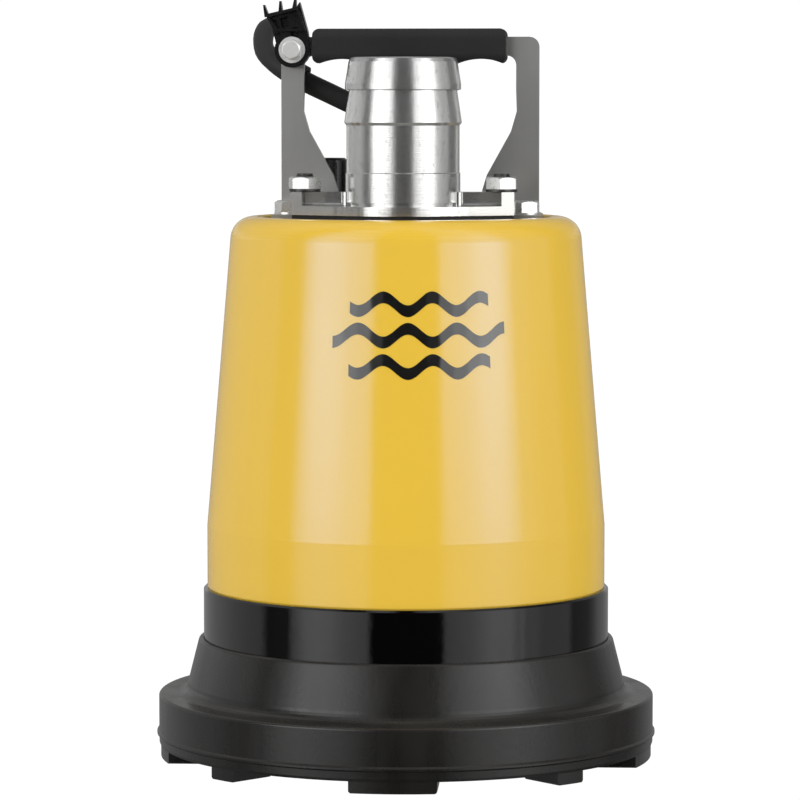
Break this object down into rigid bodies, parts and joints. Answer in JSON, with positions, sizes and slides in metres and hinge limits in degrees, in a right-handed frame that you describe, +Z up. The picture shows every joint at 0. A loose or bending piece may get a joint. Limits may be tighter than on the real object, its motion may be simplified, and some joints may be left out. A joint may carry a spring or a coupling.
{
  "type": "submersible sump pump",
  "caption": "Submersible sump pump: round rubber foot, glossy band, tapered yellow shell, barbed hose tail with flap valve, plate handle with rubber grip, power cable with plug.",
  "frame": {"origin": "on the floor, under the motor's axis, which is the centre of the rubber skirt", "axes": "+Z up along the motor's axis; -Y is the front, where the hose tail stands; +X is the pump's right as seen from the front"},
  "size_m": [0.2294, 0.4357, 0.3404],
  "materials": {
    "shell_yellow": "smooth gloss",
    "black_rubber": "matt, slightly stained",
    "black_gloss": "gloss",
    "cast_aluminium": "cast and polished",
    "stainless": "brushed",
    "zinc_plated": "bright plated",
    "dark_steel": "oiled",
    "lamination_steel": "stacked sheet",
    "copper_winding": "varnished wire",
    "cage_brass": "turned",
    "pale_plastic": "moulded",
    "seal_ceramic": "lapped"
  },
  "bodies": {
    "pump_body": {"rubber_skirt": "black_rubber", "base_plate": "stainless", "base_screws": "zinc_plated", "wear_plate": "cast_aluminium", "casing_ring": "black_gloss", "casing_o_ring": "black_rubber", "outer_shell": "shell_yellow", "cover_gasket": "black_rubber", "top_cover": "cast_aluminium", "valve_gasket": "black_rubber", "hose_tail": "cast_aluminium", "valve_pin": "zinc_plated", "tail_studs": "dark_steel", "tail_nuts": "zinc_plated", "tail_washers": "dark_steel", "cover_bolts": "zinc_plated", "cover_washers": "zinc_plated", "handle": "stainless", "handle_grip": "black_rubber", "cable_clip": "black_gloss", "clip_bolt": "zinc_plated", "clip_nut": "zinc_plated", "cable_band": "black_rubber", "cable_gland": "black_gloss", "gland_nut": "black_gloss", "gland_seal": "black_rubber", "spare_gland": "black_gloss", "spare_plug": "black_rubber", "motor_housing": "cast_aluminium", "housing_screws": "zinc_plated", "stator_core": "lamination_steel", "stator_windings": "copper_winding", "thermal_switch": "pale_plastic", "terminal_block": "pale_plastic", "upper_outer_ring": "zinc_plated", "lower_outer_ring": "zinc_plated", "seal_housing": "cast_aluminium", "seal_seat": "seal_ceramic", "lip_seal": "black_rubber", "cable_relief": "black_rubber", "cable": "black_rubber", "cable_coil": "black_rubber", "cable_tail": "black_rubber", "plug_body": "black_rubber", "plug_pins": "zinc_plated"},
    "rotor": {"shaft": "stainless", "rotor_core": "lamination_steel", "rotor_end_rings": "cast_aluminium", "impeller": "cast_aluminium", "impeller_nut": "zinc_plated", "impeller_washer": "zinc_plated", "seal_face": "dark_steel", "seal_bellows": "black_rubber", "upper_inner_ring": "zinc_plated", "lower_inner_ring": "zinc_plated"},
    "upper_bearing_cage": {"upper_cage": "cage_brass", "upper_balls": "zinc_plated"},
    "lower_bearing_cage": {"lower_cage": "cage_brass", "lower_balls": "zinc_plated"},
    "flap": {"valve_flap": "black_rubber"}
  },
  "joints": [
    {"name": "rotor_spin", "type": "hinge", "parent": "pump_body", "child": "rotor", "pos_m": [0, 0, 0.1], "axis": [0, 0, 1], "continuous": true},
    {"name": "upper_cage_spin", "type": "hinge", "parent": "pump_body", "child": "upper_bearing_cage", "pos_m": [0, 0, 0.1], "axis": [0, 0, 1], "continuous": true},
    {"name": "lower_cage_spin", "type": "hinge", "parent": "pump_body", "child": "lower_bearing_cage", "pos_m": [0, 0, 0.1], "axis": [0, 0, 1], "continuous": true},
    {"name": "valve_swing", "type": "hinge", "parent": "pump_body", "child": "flap", "pos_m": [0, 0.0005, 0.2473], "axis": [-1, 0, 0], "range_deg": [0, 60]}
  ],
  "couplings": [
    {"joint": "upper_cage_spin", "follows": "rotor_spin", "ratio": 0.3808},
    {"joint": "lower_cage_spin", "follows": "rotor_spin", "ratio": 0.3818}
  ]
}
